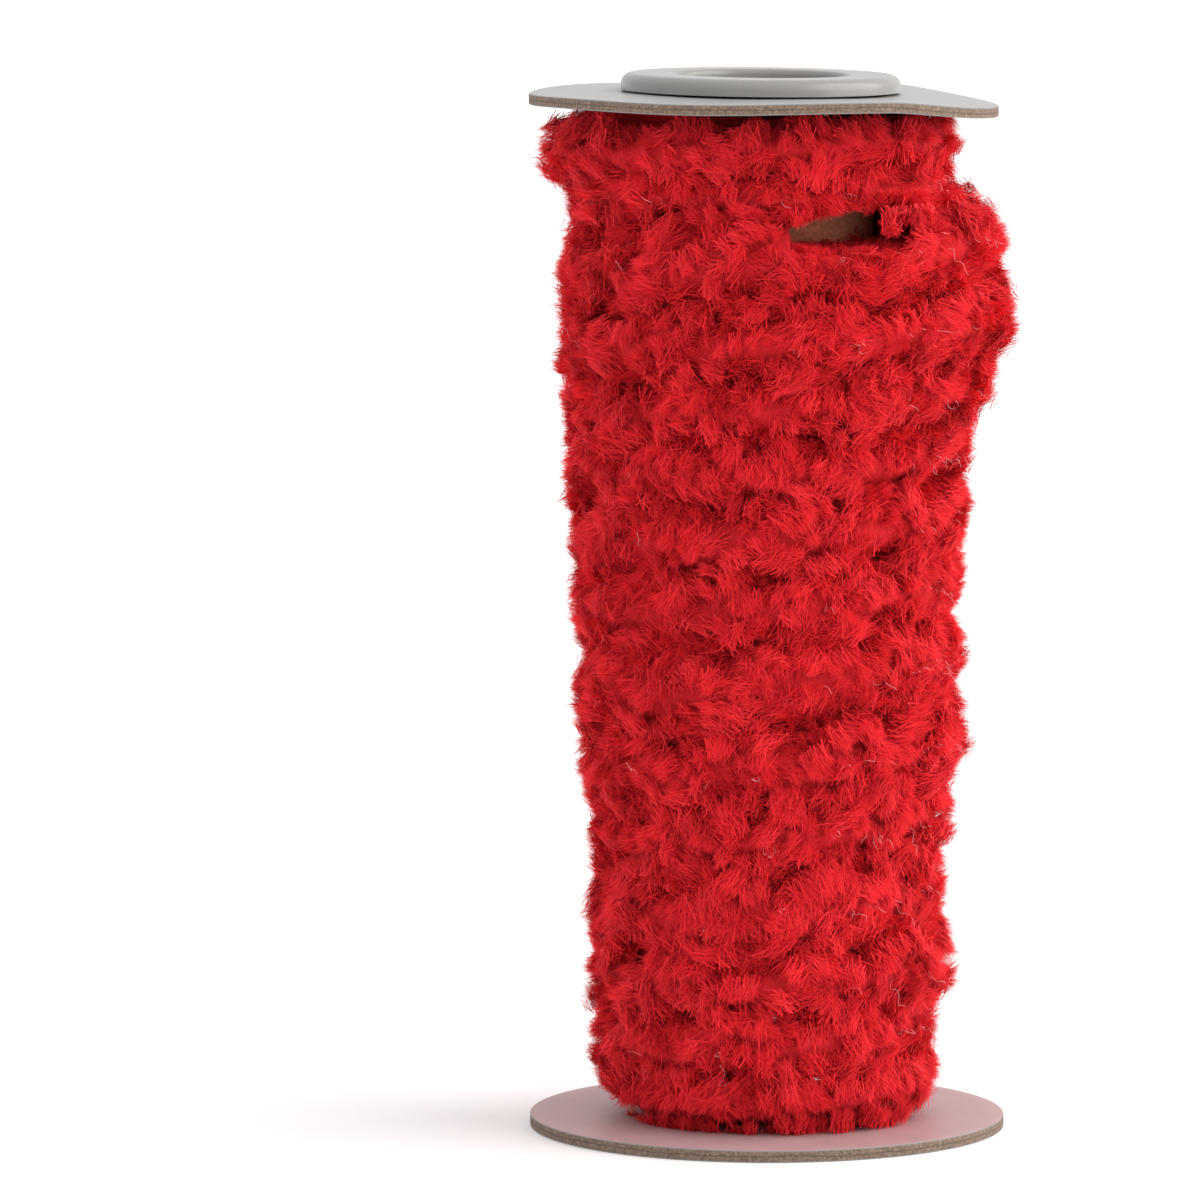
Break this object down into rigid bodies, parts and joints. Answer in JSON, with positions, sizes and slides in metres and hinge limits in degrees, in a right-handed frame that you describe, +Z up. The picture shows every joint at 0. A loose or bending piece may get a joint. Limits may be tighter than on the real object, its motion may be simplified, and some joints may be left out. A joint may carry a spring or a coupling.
{
  "type": "wired yarn trim on a spool",
  "caption": "Fluffy red wired yarn trim wound in one layer round a paper core between two round card ends, with a plastic hub ring on top.",
  "frame": {"origin": "middle of the lower card end's underside, which rests on the surface", "axes": "+Z up along the spool's core; the front of the picture is -Y; +X is to the right seen from the front, where the trim climbs to"},
  "size_m": [0.0686, 0.0666, 0.148],
  "materials": {
    "lower_board": "white coated face with a pink cast from the pile, raw grey-brown speckled edge",
    "kraft_core": "brown kraft paper wound in a tube",
    "upper_board": "white coated face, raw grey-brown speckled edge between thin pale papers",
    "hub_plastic": "moulded off-white plastic with a soft gloss",
    "red_pile": "dense bright red yarn pile on a twisted wire"
  },
  "bodies": {
    "root": {"lower_flange": "lower_board", "core_tube": "kraft_core", "upper_flange": "upper_board", "hub_ring": "hub_plastic", "wound_trim": "red_pile"}
  },
  "joints": []
}
